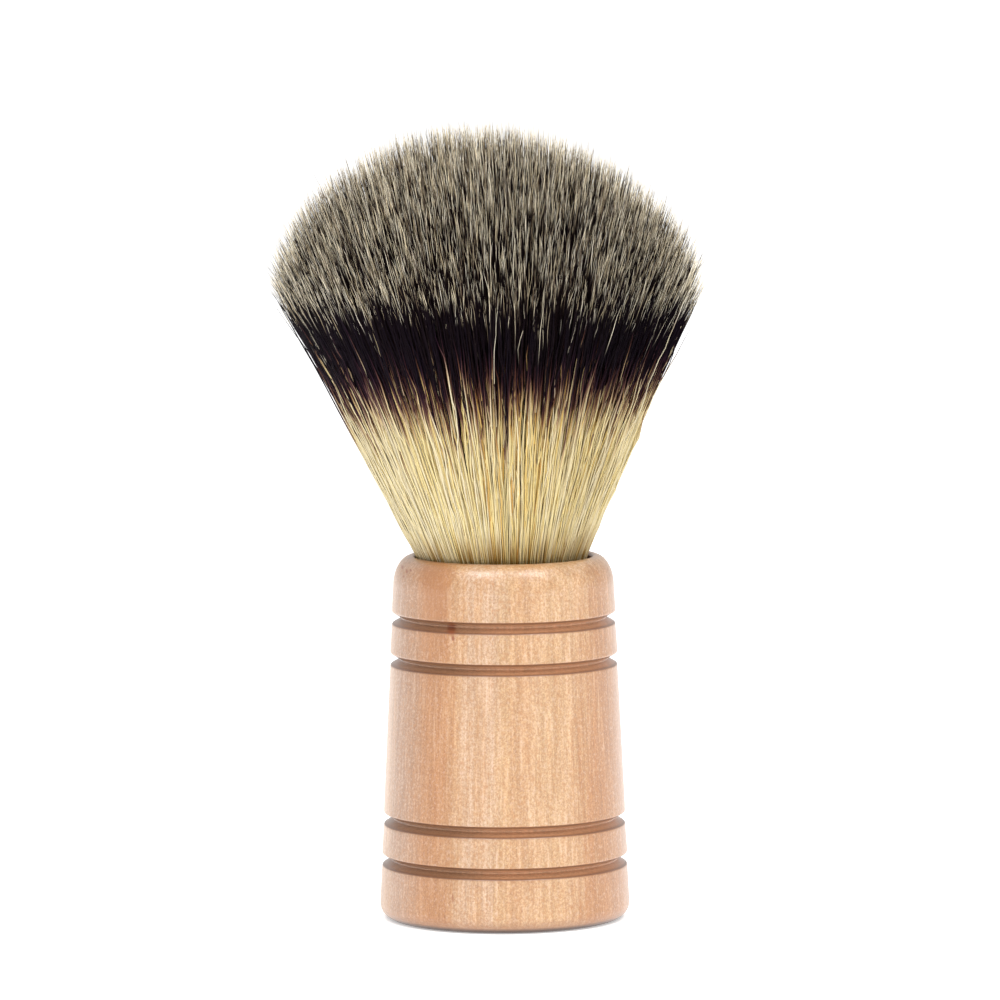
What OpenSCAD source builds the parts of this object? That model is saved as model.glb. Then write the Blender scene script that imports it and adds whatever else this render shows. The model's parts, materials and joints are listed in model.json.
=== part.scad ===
// Shaving brush: a turned wooden handle with a glued-in knot of soft filaments.
// Millimetres, +Z up. The origin is the centre of the handle's flat foot.
// The knot is drawn in its own frame: its z = 0 is the handle's rim, and it leans a little towards -X.

/* [Handle] */
// Height of the wooden handle, from its foot to its rim
handle_h = 46; // [38:0.5:60]
// Thickness of the wood round the socket, measured at the rim
rim_wall = 2.65; // [2.4:0.05:5]
// Growth of the handle's radius from its rim down to its foot
flare = 2.1; // [0:0.1:6]
// Radius of the foot's rounded edge
foot_round = 2; // [0.5:0.1:3]
// Height of the rounded shoulder
shoulder_h = 3.9; // [2:0.1:5]
// Radius of the socket's rounded mouth
mouth_round = 0.5; // [0.2:0.05:0.8]

/* [Grooves] */
// Height of the middle of the lower pair of grooves above the foot
lower_pair_rise = 10.2; // [8:0.1:13]
// Depth of the middle of the upper pair of grooves below the rim
upper_pair_drop = 10.4; // [10.4:0.1:13]
// Distance between the two grooves of a pair
pair_pitch = 5.2; // [3.5:0.1:6]
// Width of a groove between its lips, taken as sharp
groove_w = 1.5; // [0.8:0.1:2]
// Depth of a groove, taken as a sharp V
groove_depth = 1.35; // [0.6:0.05:1.7]
// Radius of a groove's lips
lip_round = 0.3; // [0.1:0.05:0.4]
// Radius at the bottom of a groove
root_round = 0.12; // [0.05:0.01:0.2]

/* [Socket] */
// Diameter of the socket bored into the handle
socket_d = 22.2; // [18:0.1:30]
// Depth of the socket below the rim
socket_depth = 14; // [11.5:0.1:20]
// Clearance between round faces that are glued together
seat_gap = 0.02; // [0.01:0.01:0.05]

/* [Knot] */
// Thickness of the glue beside the knot, where the lean makes it thinnest
glue_wall = 0.11; // [0.1:0.01:0.6]
// Thickness of the glue under the knot
bed_h = 1; // [0.8:0.1:1.5]
// Depth of the top of the glue below the rim
glue_drop = 4.5; // [3:0.1:6]
// Lean of the knot towards -X, in degrees
knot_lean = 2.5; // [0:0.1:3]
// Depth below the rim of the point that the knot leans about
lean_drop = 9; // [7:0.5:9]
// Depth of the top of the ring that gathers the roots, below the rim
ring_drop = 4.6; // [4:0.1:5.5]
// Wall of the ring
ring_wall = 0.8; // [0.5:0.1:1.5]
// Height of the resin plug inside the ring
plug_h = 5; // [2:0.5:5]
// Diameter of the binding thread
thread_d = 0.5; // [0.3:0.05:0.6]
// Turns of the binding thread
thread_turns = 5; // [3:1:6]

/* [Filaments] */
// Height of the fan of filaments above the rim
fan_h = 54.6; // [44:0.2:70]
// Diameter of the fan where its side and its dome would meet in a sharp edge
fan_d = 55.4; // [45:0.2:67]
// Height of the dome on top of the fan
dome_h = 19; // [14:0.5:24]

/* [Flex] */
// Length of the round zone at the roots that stays still while the fan bends
still_zone = 8.4; // [7:0.1:11]
// Clearance between the still zone and the bending fan
flex_gap = 0.3; // [0.2:0.05:0.5]

/* [Hidden] */
$fn = 128;

socket_r = socket_d / 2;
top_r = socket_r + rim_wall;
foot_r = top_r + flare;

// The shoulder is a quarter of an ellipse, from the side up to the crest beside the mouth.
shoulder_z = handle_h - shoulder_h;
crest_r = socket_r + mouth_round;
shoulder_w = side_r(shoulder_z) - crest_r;

// Angle between a groove's flank and the horizontal, and the turn of its lip.
flank_angle = atan2(groove_w / 2, groove_depth);
lip_turn = 90 - flank_angle;
lip_reach = lip_round * tan(lip_turn / 2);
groove_zs = [
    lower_pair_rise - pair_pitch / 2,
    lower_pair_rise + pair_pitch / 2,
    handle_h - upper_pair_drop - pair_pitch / 2,
    handle_h - upper_pair_drop + pair_pitch / 2
];

// The knot below the rim: heights in its own frame are negative there.
knot_r = socket_r - glue_wall - lean_drop * sin(knot_lean);
knot_foot = bed_h - socket_depth;
ring_bore_r = knot_r - ring_wall;
thread_pitch = thread_d * 0.9;
binding_h = thread_pitch * (thread_turns - 1) + thread_d;
binding_top = binding_h - ring_drop;
neck_r = knot_r - thread_d;
flex_r = knot_r + still_zone;

// The fan's side and its dome are blended: the larger the edge power, the sharper their meeting.
fan_r = fan_d / 2;
side_h = fan_h - dome_h;
edge_power = 20;
dome_power = 1.5;
fan_rings = 48;

// Radius of the handle's tapered side at a height.
function side_r(z) = foot_r + (top_r - foot_r) * z / handle_h;

// Points along an arc of an ellipse about a centre.
function arc(centre, rx, ry, from, to, steps) =
    [for (i = [0:steps]) let (a = from + (to - from) * i / steps) centre + [rx * cos(a), ry * sin(a)]];

// Outline of one groove from below: lower lip, bottom, upper lip.
function groove(z) =
    let (
        lip_x = side_r(z) - lip_round,
        lip_dz = groove_w / 2 + lip_reach,
        bottom_x = side_r(z) - groove_depth + root_round / sin(flank_angle)
    )
    concat(
        arc([lip_x, z - lip_dz], lip_round, lip_round, 0, lip_turn, 4),
        arc([bottom_x, z], root_round, root_round, 180 + lip_turn, 180 - lip_turn, 4),
        arc([lip_x, z + lip_dz], lip_round, lip_round, -lip_turn, 0, 4)
    );

// Radius of the fan at a height above the rim: a cone and a dome, blended into one curve.
function cone_r(h) = knot_r + (fan_r - knot_r) * h / side_h;
function dome_r(h) =
    let (up = max(0, (h - side_h) / dome_h))
    up >= 1 ? 0 : fan_r * sqrt(1 - pow(up, dome_power));
function blend_r(a, b) = b <= 0 ? 0 : pow(pow(a, -edge_power) + pow(b, -edge_power), -1 / edge_power);
function fan_at(h) = blend_r(cone_r(h), dome_r(h));

// Heights of the fan's rings, closer together towards its top.
function ring_height(i) = fan_h * sin(90 * i / fan_rings);

// Everything in the knot is drawn here, with its z = 0 at the rim.
module knot_frame() {
    translate([0, 0, handle_h - lean_drop])
        rotate([0, -knot_lean, 0])
            translate([0, 0, lean_drop])
                children();
}

// A round bar in the knot's frame, between two heights.
module knot_bar(r, from, to) {
    translate([0, 0, from])
        cylinder(r = r, h = to - from);
}

// The fan of filaments as one solid, from the rim to the top of the dome.
module fan() {
    rotate_extrude()
        polygon(concat([[0, 0]], [for (i = [0:fan_rings]) [fan_at(ring_height(i)), ring_height(i)]]));
}

module handle() {
    color("burlywood")
        difference() {
            rotate_extrude()
                polygon(concat(
                    [[0, 0]],
                    arc([side_r(foot_round) - foot_round, foot_round], foot_round, foot_round, -90, 0, 8),
                    [for (z = groove_zs) each groove(z)],
                    arc([crest_r, shoulder_z], shoulder_w, shoulder_h, 0, 90, 16),
                    arc([crest_r, handle_h - mouth_round], mouth_round, mouth_round, 90, 180, 6),
                    [[0, handle_h - mouth_round]]
                ));
            translate([0, 0, handle_h - socket_depth])
                cylinder(r = socket_r, h = socket_depth + 1);
        }
}

// Cup of glue that fills the socket round the lower end of the knot.
module socket_glue() {
    color("ivory")
        difference() {
            translate([0, 0, handle_h - socket_depth])
                cylinder(r = socket_r - seat_gap, h = socket_depth - glue_drop);
            knot_frame()
                knot_bar(knot_r + seat_gap, knot_foot, 0);
        }
}

module knot_ring() {
    color("dimgray")
        knot_frame()
            difference() {
                knot_bar(knot_r, knot_foot, -ring_drop);
                knot_bar(ring_bore_r, knot_foot - 1, 1 - ring_drop);
            }
}

module knot_plug() {
    color("goldenrod")
        knot_frame()
            knot_bar(ring_bore_r - seat_gap, knot_foot, knot_foot + plug_h);
}

// Turns of thread, drawn as touching rings round the neck of the roots.
module knot_binding() {
    color("white")
        knot_frame()
            difference() {
                union() {
                    knot_bar(neck_r + thread_d / 2, -ring_drop, binding_top);
                    for (i = [0:thread_turns - 1])
                        translate([0, 0, thread_d / 2 + thread_pitch * i - ring_drop])
                            rotate_extrude()
                                translate([neck_r + thread_d / 2, 0])
                                    circle(d = thread_d, $fn = 24);
                }
                knot_bar(neck_r + seat_gap, -ring_drop - 1, binding_top + 1);
            }
}

// Roots of the filaments: packed in the ring, drawn in by the binding, then opening as a round head.
module filament_roots() {
    color("wheat")
        knot_frame() {
            knot_bar(ring_bore_r - seat_gap, knot_foot + plug_h, -ring_drop);
            knot_bar(neck_r, -ring_drop, binding_top);
            knot_bar(knot_r, binding_top, 0);
            intersection() {
                fan();
                sphere(r = flex_r);
            }
        }
}

// Free length of the filaments, which bends as one soft fan about the centre of the rim.
module filament_bundle() {
    color("rosybrown")
        knot_frame()
            difference() {
                fan();
                sphere(r = flex_r + flex_gap);
            }
}

handle();
socket_glue();
knot_ring();
knot_plug();
knot_binding();
filament_roots();
filament_bundle();
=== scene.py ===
"""The looks of a shaving brush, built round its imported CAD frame.

Everything is in metres in the row frame: +Z up, the brush's foot at the origin, the camera on the -Y side.
Inside the functions that shape the filaments, lengths are in millimetres until a mesh is made.
"""

import json
import math

import bpy
import numpy as np
from mathutils import Euler, Matrix, Vector


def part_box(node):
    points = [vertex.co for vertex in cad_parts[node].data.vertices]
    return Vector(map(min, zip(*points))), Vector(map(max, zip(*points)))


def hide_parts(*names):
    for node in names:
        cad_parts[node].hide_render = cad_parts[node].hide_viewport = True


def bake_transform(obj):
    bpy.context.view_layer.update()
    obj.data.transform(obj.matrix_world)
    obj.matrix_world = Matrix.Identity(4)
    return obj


MM = 0.001
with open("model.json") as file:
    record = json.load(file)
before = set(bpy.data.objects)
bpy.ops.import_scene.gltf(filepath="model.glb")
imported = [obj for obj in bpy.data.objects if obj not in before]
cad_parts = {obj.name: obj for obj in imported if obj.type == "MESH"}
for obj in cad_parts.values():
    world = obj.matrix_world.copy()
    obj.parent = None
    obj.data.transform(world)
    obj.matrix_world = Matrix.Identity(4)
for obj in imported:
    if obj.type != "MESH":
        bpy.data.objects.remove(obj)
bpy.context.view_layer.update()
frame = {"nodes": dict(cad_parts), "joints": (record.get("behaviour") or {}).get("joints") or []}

# ---------------------------------------------------------------- sizes

# The upper corners of the CAD nodes' boxes, and the joint's pivot, which is the middle of the rim, in metres.
HANDLE_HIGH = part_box("handle")[1]
BUNDLE_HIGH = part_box("filament_bundle")[1]
RING_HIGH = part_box("knot_ring")[1]
PLUG_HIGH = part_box("knot_plug")[1]
FLEX = next(joint for joint in frame["joints"] if joint["name"] == "bristle_flex")
PIVOT = Vector(FLEX["pos_m"])

# Sizes worked out from them, in millimetres. The fan's side and dome meet in a rounded edge: without
# its rounding, the edge would be EDGE_SHARE as wide. The roots end a little way inside the resin plug.
EDGE_SHARE = 1.032
ROOT_IN_PLUG = 0.4
RIM_H = HANDLE_HIGH.z / MM
KNOT_R = RING_HIGH.y / MM
FAN_H = (BUNDLE_HIGH.z - PIVOT.z) / MM
FAN_SHARP_R = BUNDLE_HIGH.y / MM * EDGE_SHARE
ROOT_DEPTH = (PIVOT.z - PLUG_HIGH.z) / MM + ROOT_IN_PLUG

# The CAD model's own values that the frame doesn't hold, in millimetres.
KNOT_LEAN = math.radians(2.5)
FOOT_R = 15.85
TOP_R = 13.75
SOCKET_R = 11.1
MOUTH_ROUND = 0.5
DOME_H = 19.0
SIDE_H = FAN_H - DOME_H
EDGE_POWER = 20
DOME_POWER = 1.5


# ---------------------------------------------------------------- node helpers

class Nodes:
    """A material's node tree, with a short way to add and join nodes."""

    def __init__(self, name):
        self.material = bpy.data.materials.new(name)
        self.material.use_nodes = True
        self.tree = self.material.node_tree
        self.tree.nodes.clear()
        self.shader = self.tree.nodes.new("ShaderNodeBsdfPrincipled")
        output = self.tree.nodes.new("ShaderNodeOutputMaterial")
        self.tree.links.new(self.shader.outputs["BSDF"], output.inputs["Surface"])

    def put(self, value, socket):
        """Joins a socket to another one, or sets it to a plain value."""
        if isinstance(value, bpy.types.NodeSocket):
            self.tree.links.new(value, socket)
        else:
            socket.default_value = value

    def math(self, operation, a, b=0.0):
        node = self.tree.nodes.new("ShaderNodeMath")
        node.operation = operation
        self.put(a, node.inputs[0])
        self.put(b, node.inputs[1])
        return node.outputs[0]

    def line(self, value, slope, start):
        """A straight line: start where the value is 0, start + slope where it is 1."""
        return self.math("ADD", self.math("MULTIPLY", value, slope), start)

    def vector(self, operation, a, b=(0.0, 0.0, 0.0)):
        node = self.tree.nodes.new("ShaderNodeVectorMath")
        node.operation = operation
        self.put(a, node.inputs[0])
        self.put(b, node.inputs[1])
        return node.outputs["Value" if operation == "LENGTH" else "Vector"]

    def reach(self, place, centre=(0.0, 0.0, 0.0)):
        """Distance from an upright line through the centre."""
        away = self.vector("SUBTRACT", place, centre)
        return self.vector("LENGTH", self.vector("MULTIPLY", away, (1.0, 1.0, 0.0)))

    def step(self, value, low, high):
        """Rises smoothly from 0 at low to 1 at high."""
        node = self.tree.nodes.new("ShaderNodeMapRange")
        node.interpolation_type = "SMOOTHSTEP"
        self.put(value, node.inputs["Value"])
        self.put(low, node.inputs["From Min"])
        self.put(high, node.inputs["From Max"])
        return node.outputs["Result"]

    def noise(self, vector, scale, detail=2.0, roughness=0.5):
        node = self.tree.nodes.new("ShaderNodeTexNoise")
        self.put(vector, node.inputs["Vector"])
        node.inputs["Scale"].default_value = scale
        node.inputs["Detail"].default_value = detail
        node.inputs["Roughness"].default_value = roughness
        return node.outputs["Fac"]

    def spots(self, vector, scale):
        """Distance to the nearest of many scattered points."""
        node = self.tree.nodes.new("ShaderNodeTexVoronoi")
        self.put(vector, node.inputs["Vector"])
        node.inputs["Scale"].default_value = scale
        return node.outputs["Distance"]

    def ramp(self, value, stops):
        """A colour ramp from (position, (r, g, b)) stops."""
        node = self.tree.nodes.new("ShaderNodeValToRGB")
        elements = node.color_ramp.elements
        while len(elements) < len(stops):
            elements.new(0.5)
        for element, (position, colour) in zip(elements, stops):
            element.position = position
            element.color = (*colour, 1.0)
        self.put(value, node.inputs["Fac"])
        return node.outputs["Color"]

    def mix(self, amount, a, b, blend="MIX"):
        node = self.tree.nodes.new("ShaderNodeMix")
        node.data_type = "RGBA"
        node.blend_type = blend
        self.put(amount, node.inputs["Factor"])
        for socket, value in ((node.inputs[6], a), (node.inputs[7], b)):
            self.put(value if isinstance(value, bpy.types.NodeSocket) else (*value, 1.0), socket)
        return node.outputs[2]

    def paint(self, under, colour, mask, strength, blend="MIX"):
        """Lays a colour over another one, at that strength where the mask is 1."""
        return self.mix(self.math("MULTIPLY", mask, strength), under, colour, blend)

    def tint(self, colour, value):
        """Multiplies a colour by a grey value."""
        node = self.tree.nodes.new("ShaderNodeVectorMath")
        node.operation = "SCALE"
        self.put(colour, node.inputs[0])
        self.put(value, node.inputs["Scale"])
        return node.outputs["Vector"]

    def warm_shade(self, colour, value, dark, light):
        """Multiplies a colour by one that goes from dark, at a value of 0.3, to light, at 0.7."""
        gain = max(light)
        stops = []
        for position, shade in ((0.3, dark), (0.7, light)):
            stops.append((position, tuple(part / gain for part in shade)))
        return self.tint(self.mix(1.0, colour, self.ramp(value, stops), "MULTIPLY"), gain)

    def attribute(self, name):
        node = self.tree.nodes.new("ShaderNodeAttribute")
        node.attribute_name = name
        return node.outputs["Fac"]

    def place(self, stretch=(1.0, 1.0, 1.0)):
        """Object coordinates in millimetres, stretched along the axes."""
        node = self.tree.nodes.new("ShaderNodeTexCoord")
        return self.vector("MULTIPLY", node.outputs["Object"], tuple(part / MM for part in stretch))

    def parts(self, vector):
        node = self.tree.nodes.new("ShaderNodeSeparateXYZ")
        self.put(vector, node.inputs[0])
        return node.outputs

    def upward(self):
        """How far the surface faces up: 1 at a level top, -1 at a level underside."""
        return self.parts(self.tree.nodes.new("ShaderNodeNewGeometry").outputs["Normal"])[2]

    def bump(self, height, distance, strength):
        node = self.tree.nodes.new("ShaderNodeBump")
        node.inputs["Distance"].default_value = distance
        node.inputs["Strength"].default_value = strength
        self.put(height, node.inputs["Height"])
        self.put(node.outputs["Normal"], self.shader.inputs["Normal"])

    def finish(self, colour, roughness, **constants):
        """Sets the shader's colour and roughness, and constants on its own sockets."""
        self.put(colour, self.shader.inputs["Base Color"])
        self.put(roughness, self.shader.inputs["Roughness"])
        for name, value in constants.items():
            self.shader.inputs[name.replace("_", " ").title().replace("Ior", "IOR")].default_value = value
        return self.material


# ---------------------------------------------------------------- wood

# How many features of each pattern there are to a millimetre, along x, y and z.
SWAY_GRAIN = (0.06, 0.06, 0.008)
FRINGE_GRAIN = (1.7, 1.7, 0.010)
BROAD_GRAIN = (0.9, 0.9, 0.006)
LINE_GRAIN = (2.6, 2.6, 0.018)
FIBRE_GRAIN = (6.0, 6.0, 0.40)
SPECKLE_GRAIN = (4.8, 4.8, 4.0)
FLUSH_GRAIN = (3.4, 3.4, 2.4)
BLOTCH_GRAIN = (0.9, 0.9, 0.35)
PORE_GRAIN = (1.0, 1.0, 0.42)
PORE_DENSITY = 1.35

# Growth rings run up the handle. Their pith lies far to the left and a little behind.
PITH = (-58.0, 18.0, 0.0)
FIRST_RING = 48.0
RING_SPAN = 30.0
PINK = (0.380, 0.212, 0.126)
TAN = (0.410, 0.184, 0.069)
WARM = (0.470, 0.258, 0.124)
GOLD = (0.500, 0.296, 0.148)
WHITE = (0.520, 0.335, 0.215)
LIGHT = (0.545, 0.330, 0.180)
RING_COLOURS = [
    (0.00, WARM),
    (0.07, PINK),
    (0.15, PINK),
    (0.30, TAN),
    (0.36, TAN),
    (0.42, WARM),
    (0.48, WHITE),
    (0.52, WARM),
    (0.56, WHITE),
    (0.62, GOLD),
    (0.69, WARM),
    (0.74, LIGHT),
    (0.79, GOLD),
    (0.83, LIGHT),
    # The last stops lie on the handle's right edge: their tan is partly grain and partly painted shade that
    # offsets the lacquer's whitish reflection there.
    (0.86, WARM),
    (0.90, TAN),
    (1.00, TAN),
]

# Colours laid over the rings.
TANNED = (0.450, 0.205, 0.080)
ROSY = (0.600, 0.400, 0.290)
WHITISH = (0.640, 0.460, 0.340)
PORE_BROWN = (0.26, 0.12, 0.06)
STAIN_BROWN = (0.36, 0.150, 0.056)
GROOVE_LIP = (0.31, 0.134, 0.060)
GROOVE_BOTTOM = (0.53, 0.282, 0.155)
LOWER_LIP = (0.13, 0.050, 0.022)
# Painted shade for the grooves' upper flanks, which face down.
UPPER_FLANK_SHADE = (0.150, 0.060, 0.026)
MARK_RED = (0.240, 0.055, 0.014)
# Painted shade for the foot and the socket's mouth.
SHADE_BROWN = (0.28, 0.125, 0.052)
# Painted shadow along the foot's lower edge, at the floor.
FOOT_SHADOW = (0.060, 0.024, 0.012)

# Where each effect starts and where it is full, in millimetres: heights, radii, and depths inside the side.
GROOVES_BELOW = (41.0, 40.4)
GROOVES_ABOVE = (3.0, 4.0)
GROOVE_DEPTHS = (0.03, 0.11)
SCORCH_DEPTHS = (0.25, 1.10)
LOWER_LIP_DEPTHS = (0.46, 0.20)
UPPER_FLANK_SHADE_DEPTHS = (0.85, 0.30)
STAIN_MIDDLE = -8.6
STAIN_EDGES = (2.7, 0.6)
STAIN_HEIGHTS = (30.0, 44.0)
FOOT_SHADE_HEIGHTS = (2.1, 0.4)
FOOT_SHADOW_HEIGHTS = (0.90, 0.35)
MOUTH_SHADE_RADII = (11.55, 11.05)

# Small dark marks on the front: (x, z, half width, half height, strength).
WOOD_MARKS = [
    (-6.3, 36.9, 0.30, 0.45, 0.85),
    (-6.5, 38.0, 0.75, 1.10, 0.75),
    (-6.5, 4.5, 0.10, 0.85, 0.80),
    (-12.7, 44.9, 0.20, 0.28, 0.90),
    (-12.1, 44.6, 0.16, 0.34, 0.90),
    (-11.6, 44.8, 0.17, 0.20, 0.85),
    (-12.5, 43.9, 0.15, 0.20, 0.75),
    (-9.9, 43.4, 0.35, 0.12, 0.35),
    (8.9, 5.6, 0.10, 0.12, 0.55),
    (2.1, 3.1, 0.12, 0.35, 0.50),
]


def ring_colours(n, place):
    """The colours of the growth rings, drifting in and out a little along the grain."""
    sway = n.noise(n.place(SWAY_GRAIN), 1.0)
    fringe = n.noise(n.vector("MULTIPLY", place, FRINGE_GRAIN), 1.0, 2.0, 0.7)
    drift = n.math("ADD", n.math("MULTIPLY", sway, 3.0), n.math("MULTIPLY", fringe, 5.0))
    ring = n.math("ADD", n.reach(place, PITH), n.math("SUBTRACT", drift, 4.0))
    return n.ramp(n.math("DIVIDE", n.math("SUBTRACT", ring, FIRST_RING), RING_SPAN), RING_COLOURS)


def stain(n, colour, x, y, z):
    """A tan stain that runs down the front, strongest under the mouth."""
    blotch = n.noise(n.place(BLOTCH_GRAIN), 1.0, 3.0, 0.6)
    streak = n.step(n.math("ABSOLUTE", n.math("ADD", x, -STAIN_MIDDLE)), *STAIN_EDGES)
    mask = n.math("MULTIPLY", streak, on_front(n, y))
    mask = n.math("MULTIPLY", mask, n.line(n.step(z, *STAIN_HEIGHTS), 0.5, 0.15))
    mask = n.math("MULTIPLY", mask, n.math("ADD", blotch, 0.4))
    return n.mix(mask, colour, STAIN_BROWN)


def on_front(n, y):
    """1 on the front half of the handle, 0 on its back."""
    return n.step(y, 0.0, -1.0)


def scorch(n, colour, grain_lines, radius, x, z):
    """Scorches the grooves, and paints shade on their upper flanks: a point is in one where it lies inside
    the handle's tapered side.
    """
    side = n.math("SUBTRACT", FOOT_R, n.math("MULTIPLY", z, (FOOT_R - TOP_R) / RIM_H))
    inside = n.math("SUBTRACT", side, radius)
    on_side = n.math("MULTIPLY", n.step(z, *GROOVES_BELOW), n.step(z, *GROOVES_ABOVE))
    groove = n.math("MULTIPLY", n.step(inside, *GROOVE_DEPTHS), on_side)
    facing = n.upward()

    scorched = n.mix(n.step(inside, *SCORCH_DEPTHS), GROOVE_LIP, GROOVE_BOTTOM)
    scorched = n.tint(scorched, n.line(grain_lines, 0.9, 0.55))
    scorched = n.tint(scorched, n.line(n.step(x, 1.0, -8.0), -0.40, 1.08))
    lower_lip = n.math("MULTIPLY", n.step(facing, 0.25, 0.60), n.step(inside, *LOWER_LIP_DEPTHS))
    scorched = n.paint(scorched, LOWER_LIP, lower_lip, 0.75)
    colour = n.paint(colour, scorched, groove, 0.90)
    # Painted shade on each groove's upper flank, which faces down under the lip.
    upper_flank_shade = n.math("MULTIPLY", n.step(facing, -0.30, -0.70), n.step(inside, *UPPER_FLANK_SHADE_DEPTHS))
    return n.paint(colour, UPPER_FLANK_SHADE, n.math("MULTIPLY", groove, upper_flank_shade), 0.80)


def marked(n, colour, place, y):
    """Adds the few dark marks of the real wood."""
    front = on_front(n, y)
    for x, z, wide, high, strength in WOOD_MARKS:
        away = n.vector("SUBTRACT", place, (x, 0.0, z))
        away = n.vector("MULTIPLY", away, (1 / wide, 0.0, 1 / high))
        mark = n.math("MULTIPLY", n.step(n.vector("LENGTH", away), 1.0, 0.35), front)
        colour = n.paint(colour, MARK_RED, mark, strength)
    return colour


def wood():
    """Pale turned wood under a thin satin lacquer, browner in its grooves."""
    n = Nodes("lacquered_wood")
    place = n.place()
    x, y, z = n.parts(place)
    radius = n.reach(place)

    # Grain: lines that run up the handle.
    broad_lines = n.noise(n.vector("MULTIPLY", place, BROAD_GRAIN), 1.0, 2.0, 0.6)
    grain_lines = n.noise(n.vector("MULTIPLY", place, LINE_GRAIN), 1.0, 3.0, 0.65)
    colour = n.tint(ring_colours(n, place), n.line(broad_lines, 0.50, 0.75))
    colour = n.warm_shade(colour, grain_lines, (0.83, 0.77, 0.68), (1.13, 1.21, 1.29))

    # Fine fibres, and the speckle of rays and pores cut across.
    fibres = n.noise(n.place(FIBRE_GRAIN), 1.0, 3.0, 0.6)
    speckle = n.noise(n.place(SPECKLE_GRAIN), 1.0, 2.0, 0.8)
    flush = n.noise(n.place(FLUSH_GRAIN), 1.0, 2.0, 0.7)
    pores = n.step(n.spots(n.place(PORE_GRAIN), PORE_DENSITY), 0.09, 0.03)
    colour = n.tint(colour, n.line(fibres, 0.34, 0.83))
    colour = n.warm_shade(colour, speckle, (0.74, 0.61, 0.48), (1.26, 1.40, 1.50))
    colour = n.paint(colour, TANNED, n.step(flush, 0.48, 0.72), 0.70)
    colour = n.paint(colour, ROSY, n.step(flush, 0.50, 0.30), 0.55)
    colour = n.paint(colour, WHITISH, n.step(grain_lines, 0.55, 0.75), 0.35)
    colour = n.paint(colour, PORE_BROWN, pores, 0.35)

    colour = stain(n, colour, x, y, z)
    colour = scorch(n, colour, grain_lines, radius, x, z)
    colour = marked(n, colour, place, y)

    # Painted shade darkens the foot's edge and the socket's mouth a little.
    painted_shade = n.math("MAXIMUM", n.step(z, *FOOT_SHADE_HEIGHTS), n.step(radius, *MOUTH_SHADE_RADII))
    colour = n.paint(colour, SHADE_BROWN, painted_shade, 0.75)
    # Painted shadow along the foot's lower edge.
    colour = n.paint(colour, FOOT_SHADOW, n.step(z, *FOOT_SHADOW_HEIGHTS), 0.92)

    relief = n.math("ADD", n.math("MULTIPLY", fibres, 0.6), n.math("MULTIPLY", speckle, 0.5))
    relief = n.math("SUBTRACT", relief, n.math("MULTIPLY", pores, 0.8))
    n.bump(relief, 0.00004, 0.8)
    return n.finish(colour, n.line(flush, 0.30, 0.24), coat_weight=0.80, coat_roughness=0.31, ior=1.5)


# ---------------------------------------------------------------- the other materials

# Colours by hue, from the palest filament to the darkest: near the root, and at the tip.
STRAW_COLOURS = [
    (0.00, (0.900, 0.800, 0.570)),
    (0.30, (0.930, 0.790, 0.440)),
    (0.55, (0.940, 0.770, 0.360)),
    (0.76, (0.900, 0.670, 0.250)),
    (0.90, (0.700, 0.400, 0.120)),
    (1.00, (0.280, 0.150, 0.060)),
]
TIP_COLOURS = [
    (0.00, (1.000, 0.930, 0.790)),
    (0.26, (1.000, 0.880, 0.640)),
    (0.39, (0.660, 0.530, 0.330)),
    (0.52, (0.360, 0.300, 0.230)),
    (0.75, (0.260, 0.185, 0.115)),
    (1.00, (0.100, 0.075, 0.060)),
]

# What the straw is multiplied by, from the lower edge of the dark band to where it is darkest.
BAND_SHADES = [
    (0.00, (1.0, 1.0, 1.0)),
    (0.25, (0.66, 0.54, 0.52)),
    (0.50, (0.170, 0.090, 0.120)),
    (0.75, (0.040, 0.016, 0.048)),
    (1.00, (0.010, 0.006, 0.020)),
]
BAND_RISE = 7.6

# What else the straw is multiplied by, as painted shade: between the outer filaments, and in two ways near
# the mouth.
INNER_SHADE = (1.00, 0.87, 0.56)
MOUTH_SHADE = (0.66, 0.56, 0.42)
PARTED_SHADE = (0.48, 0.33, 0.14)


def filament():
    """Soft synthetic filament: straw at the root, near-black in its band, grey-beige at the tip."""
    n = Nodes("soft_filament")
    height = n.attribute("height_mm")
    shade = n.attribute("shade")
    hue = n.attribute("hue")
    pale_mm = n.attribute("pale_mm")
    mottle = n.noise(n.place(), 1.1, 3.0, 0.6)

    # Painted shade: the straw is darker between the outer filaments and near the mouth, where a few are
    # darker still.
    straw = n.tint(n.ramp(hue, STRAW_COLOURS), n.line(shade, 0.10, 0.78))
    straw = n.paint(straw, INNER_SHADE, n.attribute("inner"), 0.9, "MULTIPLY")
    straw = n.paint(straw, MOUTH_SHADE, n.step(height, 4.5, -0.5), 0.50, "MULTIPLY")
    parted = n.math("MULTIPLY", n.step(height, 5.0, 0.0), n.step(shade, 0.62, 0.74))
    straw = n.mix(parted, straw, PARTED_SHADE, "MULTIPLY")

    climb = n.math("DIVIDE", n.math("SUBTRACT", height, n.attribute("band_low_mm")), BAND_RISE)
    lower = n.mix(1.0, straw, n.ramp(climb, BAND_SHADES), "MULTIPLY")
    fade = n.step(n.attribute("tip_mm"), n.line(pale_mm, 1.25, 0.5), n.math("MULTIPLY", pale_mm, 0.55))
    tone = n.math("ADD", n.math("MULTIPLY", shade, 0.46), n.math("MULTIPLY", mottle, 0.36))
    colour = n.mix(fade, lower, n.tint(n.ramp(hue, TIP_COLOURS), n.math("ADD", tone, 0.60)))
    # Painted shade: filaments deep in the knot are darker, apart from their ends.
    colour = n.tint(colour, n.line(n.attribute("knot_shade"), -0.8, 1.0))
    n.bump(mottle, 0.00002, 0.5)
    return n.finish(colour, n.line(mottle, 0.3, 0.35), specular_ior_level=0.05)


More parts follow.
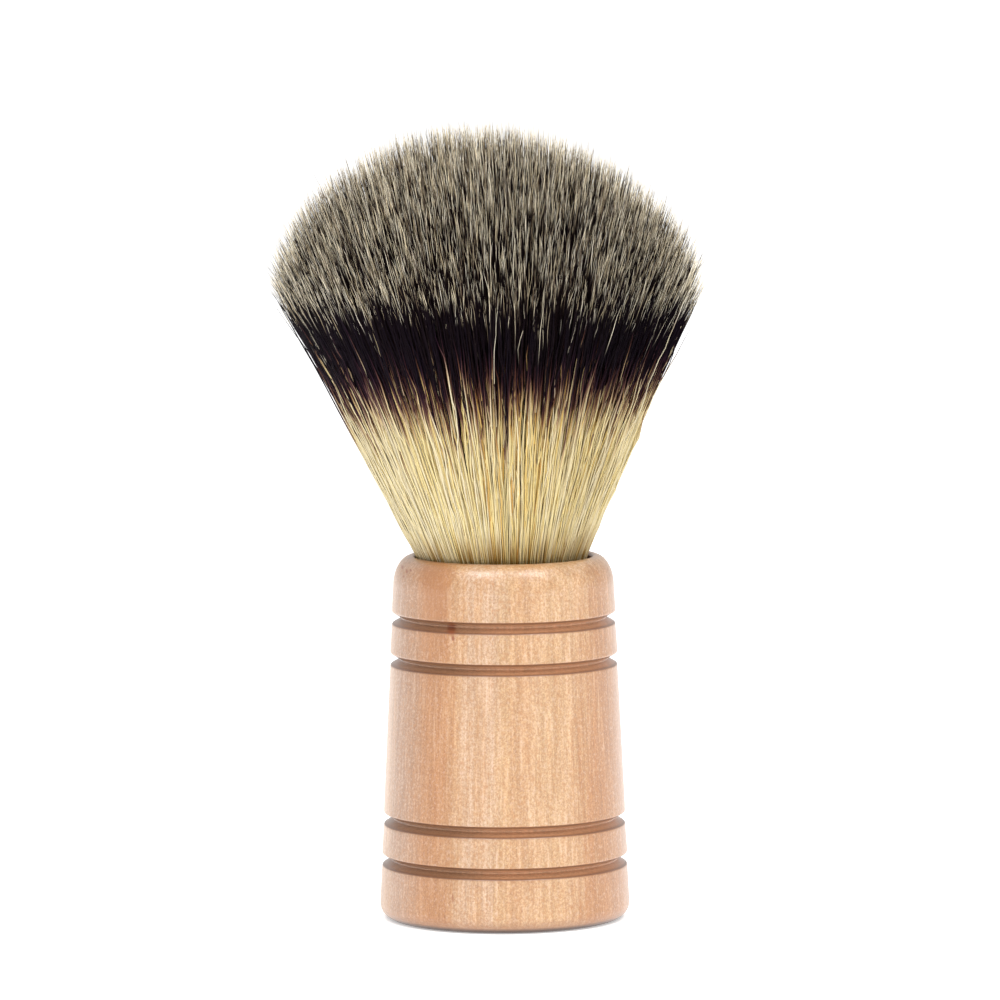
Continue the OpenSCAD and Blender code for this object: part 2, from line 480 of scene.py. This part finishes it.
def moulded(name, colour, grain, roughness):
    """A moulded or cast stuff with fine mottling, grain marks to the millimetre."""
    n = Nodes(name)
    mottle = n.noise(n.place(), 0.35, 3.0)
    fine = n.noise(n.place(), grain, 3.0)
    tone = n.math("ADD", n.math("MULTIPLY", mottle, 0.5), n.math("MULTIPLY", fine, 0.2))
    n.bump(fine, 0.00003, 0.7)
    return n.finish(n.tint(colour, n.math("ADD", tone, 0.65)), n.line(fine, 0.25, roughness))


def thread():
    """Twisted cotton thread: slanting plies round each turn."""
    n = Nodes("binding_thread")
    place = n.place()
    x, y, z = n.parts(place)
    angle = n.math("ARCTAN2", y, x)
    twist = n.math("ADD", n.math("MULTIPLY", angle, 90.0), n.math("MULTIPLY", z, 9.0))
    ply = n.math("ABSOLUTE", n.math("SINE", twist))
    fuzz = n.noise(place, 9.0, 3.0)
    colour = n.mix(ply, (0.56, 0.52, 0.43), (0.88, 0.85, 0.77))
    n.bump(n.math("ADD", ply, n.math("MULTIPLY", fuzz, 0.3)), 0.00006, 0.9)
    return n.finish(n.tint(colour, n.line(fuzz, 0.3, 0.8)), 0.85)


def floor_paint():
    n = Nodes("studio_floor")
    n.shader.inputs["Emission Color"].default_value = (1.0, 1.0, 1.0, 1.0)
    return n.finish((1.0, 1.0, 1.0, 1.0), 0.9, specular_ior_level=0.0, emission_strength=0.42)


# ---------------------------------------------------------------- the knot of filaments

FILAMENTS = 17000
TUFTS = 17
SIDES = 3
PLAIN_RINGS = 16
CRIMPED_RINGS = 26
CRIMPED_SHARE = 0.32
GOLDEN_ANGLE = math.pi * (3.0 - math.sqrt(5.0))

# The filaments fill a disc at the rim. It is shifted, so that the leaning knot stands in the mouth's middle.
MOUTH_FILL_R = 10.8
MOUTH_SHIFT = 0.36
MOUTH_CLEARANCE = 0.12

# Tips stay TIP_INSET inside the CAD fan at its widest. They end up to TIP_RISE above it, and mostly lower.
# The lowest tips are EDGE_DROP below the fan's widest ring.
EDGE_DROP = 1.5
TIP_INSET = 0.45
TIP_RISE = 0.80
TIP_SCATTER = 2.3
TURN_SCATTER = 0.006
SPLAY = 0.42
MOST_SPLAY = 1.7

# The dark band's lower edge, above the rim.
BAND_LOW = 17.0
BAND_SCATTER = 2.3

# Shares of the filaments that differ: with a long pale tip, strays, and ones that are dark far down.
LONG_PALE_SHARE = 0.50
STRAY_SHARE = 0.02
SIDE_STRAY_SHARE = 0.05
DARK_SHARE = 0.012
OUTERMOST = 0.985

# Clumps of tips that lean together: (how many, loosest hold, tightest hold).
BROAD_CLUMPS = (420, 0.10, 0.38)
FINE_CLUMPS = (2600, 0.20, 0.75)

# How each kind of bend grows along a filament: as this power of its share of the free length.
BENDS = (("broad", 2.0), ("fine", 5.0), ("splay", 3.5))

# The two rings below the rim, in the resin plug and in the binding: (ring, share of its width, depth).
# The disc's shift fades away down to SHIFT_DEPTH.
BURIED_RINGS = ((0, 0.86, ROOT_DEPTH), (1, 0.90, 3.5))
SHIFT_DEPTH = 6.0

# Waves along a filament: (shortest, longest, smallest swing, widest swing).
# They start at the rim and reach their full swing at WAVE_RUN.
PLAIN_WAVES = ((26.0, 60.0, 0.06, 0.30), (13.0, 24.0, 0.03, 0.14))
CRIMP = (5.5, 12.0, 0.06, 0.22)
WAVE_RUN = 12.0

# Radius of a filament at shares of its free length, and the length over which its tip narrows.
GIRTH_PLACES = [0.0, 0.12, 0.35, 0.6, 1.0]
GIRTHS = [0.060, 0.088, 0.104, 0.080, 0.052]
TAPER = 7.0
THINNEST = 0.012

# The bake map of a tuft, in texels: a narrow upright strip for each filament, in rows.
MAP_SIDE = 1024
STRIP_W = 3
STRIP_ROWS = 3
STRIP_H = MAP_SIDE // STRIP_ROWS
STRIP_MARGIN = 2.0
STRIP_LINES = [0.6, 1.5, 2.4]


def smooth_step(t):
    t = np.clip(t, 0.0, 1.0)
    return t * t * (3.0 - 2.0 * t)


def chance(rng, count, share):
    """A row of 1s and 0s, with about that share of 1s."""
    return (rng.random(count) < share).astype(float)


def fan_radius(h):
    """Radius of the fan at a height above the rim, as the CAD model has it."""
    cone = KNOT_R + (FAN_SHARP_R - KNOT_R) * h / SIDE_H
    up = np.clip((h - SIDE_H) / DOME_H, 0.0, 1.0)
    dome = FAN_SHARP_R * np.sqrt(np.maximum(1.0 - up ** DOME_POWER, 1e-9))
    return (cone ** -EDGE_POWER + dome ** -EDGE_POWER) ** (-1.0 / EDGE_POWER)


def tip_heights(share):
    """Heights of the tips of filaments that have these shares of the knot inside them.

    The tips are spread evenly over the dome.
    """
    h = FAN_H - (FAN_H - SIDE_H + EDGE_DROP) * np.linspace(0.0, 1.0, 400) ** 2
    r = fan_radius(h)
    strip = np.hypot(np.diff(r), np.diff(h)) * (r[1:] + r[:-1])
    area = np.concatenate([[0.0], np.cumsum(strip)])
    return np.interp(share, area / area[-1], h)


def clump_pull(rng, ends, clumps, thinning):
    """For each tip, the vector to the middle of its clump, times how tightly that clump holds together."""
    full_count, low, high = clumps
    count = int(full_count / thinning)
    centres = ends[rng.choice(len(ends), count, replace=False)]
    nearest = np.empty(len(ends), int)
    for start in range(0, len(ends), 1000):
        part = ends[start:start + 1000, None, :] - centres[None, :, :]
        nearest[start:start + 1000] = (part ** 2).sum(2).argmin(1)
    middle = np.zeros_like(centres)
    np.add.at(middle, nearest, ends)
    middle /= np.bincount(nearest, minlength=count)[:, None].clip(1)
    grip = rng.uniform(low, high, count)
    return (middle[nearest] - ends) * grip[nearest][:, None]


def lay_filaments(rng, count):
    """Roots, tips and traits of all the filaments, in the knot's frame."""
    # Roots and tips: a sunflower pattern at the rim, and the same one spread over the dome.
    index = np.arange(count)
    share = (index + rng.uniform(0.1, 0.9, count)) / count
    turn = index * GOLDEN_ANGLE + rng.normal(0.0, TURN_SCATTER, count)
    around = np.stack([np.cos(turn), np.sin(turn), np.zeros(count)], 1)
    root = around * (MOUTH_FILL_R * np.sqrt(share))[:, None] + np.array([MOUTH_SHIFT, 0.0, 0.0])
    height = tip_heights(share)
    tip = around * (fan_radius(height) - TIP_INSET * share ** 3)[:, None]
    tip[:, 2] = height - tip[:, 0] * math.tan(KNOT_LEAN)
    broad = clump_pull(rng, tip, BROAD_CLUMPS, FILAMENTS / count)
    fine = clump_pull(rng, tip, FINE_CLUMPS, FILAMENTS / count)

    # Uneven lengths and splayed tips. The outermost filaments stand out the most.
    along = tip - root
    length = np.linalg.norm(along, axis=1, keepdims=True)
    trim = TIP_RISE - np.abs(rng.normal(0.0, TIP_SCATTER, count))
    trim = trim + chance(rng, count, 0.03) * rng.uniform(0.0, 1.0, count)
    tip = tip + along / length * trim[:, None]
    splay = np.stack([rng.normal(0.0, SPLAY, count) for _ in range(3)], 1)
    outward = np.minimum(np.abs(rng.normal(0.0, 1.0, count)), MOST_SPLAY)
    splay += around * (outward * share ** 6)[:, None]

    # Length of the pale tip: half are long. They are longest in the fan's middle and at its left and right.
    sideways = around[:, 0] ** 2 * share ** 3
    long_pale = chance(rng, count, LONG_PALE_SHARE)
    reach = 0.15 + 0.50 * np.sqrt(1.0 - share)
    short = rng.uniform(0.2, 1.2, count) + 0.8 * (1.0 - share) ** 2
    pale = long_pale * rng.gamma(6.0, 1.0, count) * (reach + 0.22 * sideways) + (1 - long_pale) * short
    stray = chance(rng, count, STRAY_SHARE + SIDE_STRAY_SHARE * sideways)
    pale += stray * rng.uniform(2.0, 8.0, count)

    # Height of the dark band's lower edge: a few filaments are dark far down, or straw far up.
    low = BAND_LOW + rng.normal(0.0, BAND_SCATTER, count)
    low = low + chance(rng, count, 0.015) * rng.uniform(2.0, 8.0, count)
    dark = chance(rng, count, DARK_SHARE) * (share < OUTERMOST)
    low -= dark * rng.uniform(3.0, 15.0, count)
    return {
        "share": share,
        "turn": turn,
        "root": root,
        "tip": tip,
        "broad": broad,
        "fine": fine,
        "splay": splay,
        "band_low_mm": low,
        "pale_mm": pale,
        "shade": rng.random(count),
        "hue": rng.beta(1.5, 2.6, count) * (1.0 - 0.60 * sideways),
        "thick": rng.uniform(0.82, 1.2, count) * (1.0 - 0.4 * stray) * (1.0 - 0.3 * dark),
    }


def filament_points(rng, laid, pick, rings):
    """Centre lines of the picked filaments, each point's share of the free length, and its run from the rim.

    The first two rings of each are below the rim: in the resin plug, and in the binding.
    """
    root, tip = laid["root"][pick], laid["tip"][pick]
    crimped = rings == CRIMPED_RINGS
    crowding = 1.1 if crimped else 1.6  # the rings stand closer together towards the tip
    free = 1.0 - (1.0 - np.linspace(0.0, 1.0, rings - 2)) ** crowding
    s = np.concatenate([[0.0, 0.0], free])
    points = root[:, None, :] * (1 - s)[None, :, None] + tip[:, None, :] * s[None, :, None]
    for name, power in BENDS:
        points += laid[name][pick][:, None, :] * (s ** power)[None, :, None]
    kink = (0.045 if crimped else 0.03) + 0.02 * s ** 2
    kinks = rng.normal(0.0, 1.0, points.shape) * kink[None, :, None]
    kinks[:, :3] = 0.0
    points += kinks

    centre = np.array([MOUTH_SHIFT, 0.0])
    for ring, squeeze, depth in BURIED_RINGS:
        points[:, ring, :2] = centre * (1 - depth / SHIFT_DEPTH) + (points[:, ring, :2] - centre) * squeeze
        points[:, ring, 2] = -depth

    run = s[None, :] * np.linalg.norm(tip - root, axis=1)[:, None]
    add_waves(rng, points, run, PLAIN_WAVES + ((CRIMP,) if crimped else ()))
    return points, s, run


def add_waves(rng, points, run, waves):
    """Bends the centre lines sideways in waves that start softly at the rim."""
    count = len(points)
    lift = np.minimum(run / WAVE_RUN, 1.0)
    for short, long, low, high in waves:
        for axis in (0, 1):
            wave = rng.uniform(short, long, count)[:, None]
            phase = rng.uniform(0.0, 2 * math.pi, count)[:, None]
            size = rng.uniform(low, high, count)[:, None]
            points[:, :, axis] += size * lift * (np.sin(run / wave * 2 * math.pi + phase) - np.sin(phase))


def knot_to_row(points):
    """From the knot's leaning frame to the row frame, in millimetres."""
    pivot = np.array(PIVOT) / MM
    c, s = math.cos(KNOT_LEAN), math.sin(KNOT_LEAN)
    x = points[..., 0] * c - points[..., 2] * s
    z = points[..., 0] * s + points[..., 2] * c
    return np.stack([x, points[..., 1], z], -1) + pivot


def clear_of_mouth(points):
    """Draws points in, where they would touch the socket's wall or its rounded mouth."""
    below = np.clip(points[..., 2] - (RIM_H - MOUTH_ROUND), 0.0, MOUTH_ROUND)
    free = SOCKET_R + MOUTH_ROUND - np.sqrt(MOUTH_ROUND ** 2 - below ** 2) - MOUTH_CLEARANCE
    free = np.where(points[..., 2] > RIM_H, np.inf, free)
    reach = np.hypot(points[..., 0], points[..., 1])
    points[..., :2] *= np.minimum(1.0, free / np.maximum(reach, 1e-6))[..., None]
    return points


def bake_places(count, rings, first, s):
    """Where each vertex lies on the piece's bake map, as a share of its side."""
    columns = MAP_SIDE // STRIP_W
    cell = first + np.arange(count)
    left = (cell % columns) * STRIP_W
    low = (cell // columns) * STRIP_H
    u = left[:, None, None] + np.array(STRIP_LINES)[None, None, :] + np.zeros((count, rings - 1, SIDES))
    climb = (STRIP_H - 2 * STRIP_MARGIN) * s[None, :-1, None]
    v = low[:, None, None] + STRIP_MARGIN + climb + np.zeros_like(u)
    walls = np.stack([u, v], -1).reshape(count, -1, 2)
    ends = np.stack([left + STRIP_LINES[1], low + STRIP_H - STRIP_MARGIN], -1)[:, None, :]
    return np.concatenate([walls, ends], 1) / MAP_SIDE


def tube_verts(points, radius):
    """Vertices of the tubes along rows of points: rings of SIDES vertices, then one at the tip."""
    ahead = np.gradient(points, axis=1)
    ahead /= np.linalg.norm(ahead, axis=2, keepdims=True)
    outward = points[:, -1:, :] * np.array([1.0, 1.0, 0.0])
    outward = outward / np.maximum(np.linalg.norm(outward, axis=2, keepdims=True), 1e-9)
    right = np.cross(ahead, outward)
    right /= np.linalg.norm(right, axis=2, keepdims=True)
    out = np.cross(right, ahead)
    angles = np.arange(SIDES) * 2 * math.pi / SIDES
    ring = right[:, :, None, :] * np.cos(angles)[:, None] + out[:, :, None, :] * np.sin(angles)[:, None]
    walls = points[:, :-1, None, :] + ring[:, :-1] * radius[:, :-1, None, None]
    return np.concatenate([walls.reshape(len(points), -1, 3), points[:, -1:, :]], 1)


def tube_faces(rings):
    """Faces of one tube: its walls, its pointed tip and its flat root."""
    walls = []
    for k in range(rings - 2):
        for j in range(SIDES):
            a, b = k * SIDES + j, k * SIDES + (j + 1) % SIDES
            walls.append((a, b, b + SIDES, a + SIDES))
    last = (rings - 2) * SIDES
    end = last + SIDES
    tips = [(last + j, last + (j + 1) % SIDES, end) for j in range(SIDES)]
    return walls + tips + [tuple(range(SIDES - 1, -1, -1))]


def tube_mesh(name, points, radius, values, places):
    """One mesh of many closed tubes, with values stored at each vertex and a bake map."""
    count, rings = points.shape[:2]
    verts = tube_verts(points, radius)
    faces = tube_faces(rings)
    loops = np.array([v for face in faces for v in face])
    all_loops = (loops[None, :] + (np.arange(count) * verts.shape[1])[:, None]).ravel()
    all_totals = np.tile([len(face) for face in faces], count)
    starts = np.concatenate([[0], np.cumsum(all_totals)[:-1]])

    mesh = bpy.data.meshes.new(name)
    mesh.vertices.add(count * verts.shape[1])
    mesh.vertices.foreach_set("co", (verts * MM).astype(np.float32).ravel())
    mesh.loops.add(len(all_loops))
    mesh.loops.foreach_set("vertex_index", all_loops.astype(np.int32))
    mesh.polygons.add(len(all_totals))
    mesh.polygons.foreach_set("loop_start", starts.astype(np.int32))
    mesh.polygons.foreach_set("use_smooth", np.ones(len(all_totals), bool))
    mesh.update(calc_edges=True)

    layer = mesh.uv_layers.new(name="OFBake")
    spread = places.reshape(-1, 2)[all_loops]
    layer.data.foreach_set("uv", spread.astype(np.float32).ravel())
    for key, value in values.items():
        wall = np.repeat(value[:, :-1, None], SIDES, 2).reshape(count, -1)
        stored = np.concatenate([wall, value[:, -1:]], 1)
        attribute = mesh.attributes.new(key, "FLOAT", "POINT")
        attribute.data.foreach_set("value", stored.astype(np.float32).ravel())
    return mesh


def strand_mesh(name, rng, laid, chosen, rings, first):
    """The chosen filaments of a tuft as one mesh. Their strips on the bake map start at the given one."""
    points, s, run = filament_points(rng, laid, chosen, rings)
    height = points[:, :, 2]
    to_tip = run[:, -1:] - run
    girth = np.interp(s, GIRTH_PLACES, GIRTHS)
    taper = np.clip(to_tip / TAPER, 0.0, 1.0) ** 0.6
    radius = np.maximum(laid["thick"][chosen][:, None] * girth[None, :] * taper, THINNEST)

    # Painted shade: filaments deep in the knot are darker, apart from their ends.
    share = laid["share"][chosen][:, None]
    knot_shade = smooth_step((0.93 - share) / 0.25) * smooth_step((to_tip - 5.0) / 8.0)
    knot_shade = knot_shade * smooth_step((height - 14.0) / 8.0)
    inner = smooth_step((0.97 - share) / 0.14) * np.ones_like(run)
    values = {"height_mm": height, "tip_mm": to_tip, "knot_shade": knot_shade, "inner": inner}
    for trait in ("shade", "hue", "band_low_mm", "pale_mm"):
        values[trait] = np.broadcast_to(laid[trait][chosen][:, None], run.shape)
    places = bake_places(len(chosen), rings, first, s)
    return tube_mesh(name, clear_of_mouth(knot_to_row(points)), radius, values, places)


def make_tuft(name, rng, laid, pick, material):
    """One wedge of the knot, as one piece of many filaments."""
    crimped = laid["crimped"][pick]
    plain_pick, crimped_pick = pick[~crimped], pick[crimped]
    plain = strand_mesh(name, rng, laid, plain_pick, PLAIN_RINGS, 0)
    wavy = strand_mesh(name, rng, laid, crimped_pick, CRIMPED_RINGS, len(plain_pick))
    tuft, other = (bpy.data.objects.new(name, mesh) for mesh in (plain, wavy))
    for obj in (tuft, other):
        bpy.context.scene.collection.objects.link(obj)
    with bpy.context.temp_override(active_object=tuft, selected_editable_objects=[tuft, other], object=tuft):
        bpy.ops.object.join()
    tuft.name = name
    tuft.data.materials.append(material)
    return tuft


def make_knot():
    rng = np.random.default_rng(7)
    count = FILAMENTS
    laid = lay_filaments(rng, count)
    laid["crimped"] = rng.random(count) < CRIMPED_SHARE
    sector = np.floor((laid["turn"] / (2 * math.pi)) % 1.0 * TUFTS).astype(int)
    material = filament()
    for k in range(TUFTS):
        tuft = make_tuft(f"filament_tuft_{k + 1:02d}", rng, laid, np.flatnonzero(sector == k), material)
        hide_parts("filament_roots", "filament_bundle")
        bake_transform(tuft)


# ---------------------------------------------------------------- the CAD nodes' materials

def dress(node, material):
    """Gives a CAD node its procedural material."""
    obj = frame["nodes"][node]
    obj.data.materials.clear()
    obj.data.materials.append(material)


# ---------------------------------------------------------------- camera, floor and light

CAMERA_PLACE = Vector((-0.39 * MM, -0.930, 0.14185))
CAMERA_TILT = math.radians(5.46)
CAMERA_ROLL = math.radians(0.263)
CAMERA_LENS = 267.2
LIGHT_AIM = Vector((0.0, 0.0, 0.055))
LIGHT_DISTANCE = 1.1
LIGHT_SIZE = 0.42


def make_camera():
    data = bpy.data.cameras.new("camera")
    data.lens = CAMERA_LENS
    data.sensor_width = 36.0
    data.clip_end = 100.0
    camera = bpy.data.objects.new("camera", data)
    turn = Euler((math.pi / 2 - CAMERA_TILT, 0.0, 0.0)).to_matrix() @ Matrix.Rotation(-CAMERA_ROLL, 3, "Z")
    camera.matrix_world = Matrix.Translation(CAMERA_PLACE) @ turn.to_4x4()
    bpy.context.scene.collection.objects.link(camera)
    bpy.context.scene.camera = camera


def make_floor():
    half = 12.0
    mesh = bpy.data.meshes.new("floor")
    corners = [(-half, -half, 0.0), (half, -half, 0.0), (half, half, 0.0), (-half, half, 0.0)]
    mesh.from_pydata(corners, [], [(0, 1, 2, 3)])
    mesh.materials.append(floor_paint())
    floor = bpy.data.objects.new("floor", mesh)
    bpy.context.scene.collection.objects.link(floor)


def make_softbox(name, azimuth, elevation, watts):
    """A square soft light aimed at the brush. Azimuth 0 is the camera's side, positive to the right."""
    a, e = math.radians(azimuth), math.radians(elevation)
    offset = Vector((math.sin(a) * math.cos(e), -math.cos(a) * math.cos(e), math.sin(e)))
    data = bpy.data.lights.new(name, "AREA")
    data.energy = watts
    data.size = LIGHT_SIZE
    light = bpy.data.objects.new(name, data)
    light.location = LIGHT_AIM + offset * LIGHT_DISTANCE
    light.rotation_euler = (-offset).to_track_quat("-Z", "Y").to_euler()
    bpy.context.scene.collection.objects.link(light)


def make_world():
    """An even white surround, brighter in a thin strip at the horizon, where it meets the floor."""
    world = bpy.data.worlds.new("studio")
    world.use_nodes = True
    tree = world.node_tree
    direction = tree.nodes.new("ShaderNodeTexCoord").outputs["Generated"]
    split = tree.nodes.new("ShaderNodeSeparateXYZ")
    rise = tree.nodes.new("ShaderNodeMapRange")
    rise.interpolation_type = "SMOOTHSTEP"
    for name, value in (("From Min", 0.05), ("From Max", 0.16), ("To Min", 1.0), ("To Max", 0.7)):
        rise.inputs[name].default_value = value
    background = tree.nodes["Background"]
    background.inputs["Color"].default_value = (1.0, 1.0, 1.0, 1.0)
    tree.links.new(direction, split.inputs["Vector"])
    tree.links.new(split.outputs["Z"], rise.inputs["Value"])
    tree.links.new(rise.outputs["Result"], background.inputs["Strength"])
    bpy.context.scene.world = world


def make_studio():
    make_world()
    bpy.context.scene.view_settings.view_transform = "Standard"
    make_softbox("softbox_left", -30, 55, 5.3)
    make_softbox("softbox_right", 42, 55, 5.6)


# ---------------------------------------------------------------- the scene

make_camera()
make_floor()
make_studio()
make_knot()
dress("handle", wood())
dress("socket_glue", moulded("cured_adhesive", (0.80, 0.75, 0.60), 3.0, 0.25))
dress("knot_ring", moulded("ring_plastic", (0.045, 0.045, 0.050), 5.0, 0.35))
dress("knot_plug", moulded("cast_resin", (0.55, 0.33, 0.10), 1.5, 0.12))
dress("knot_binding", thread())
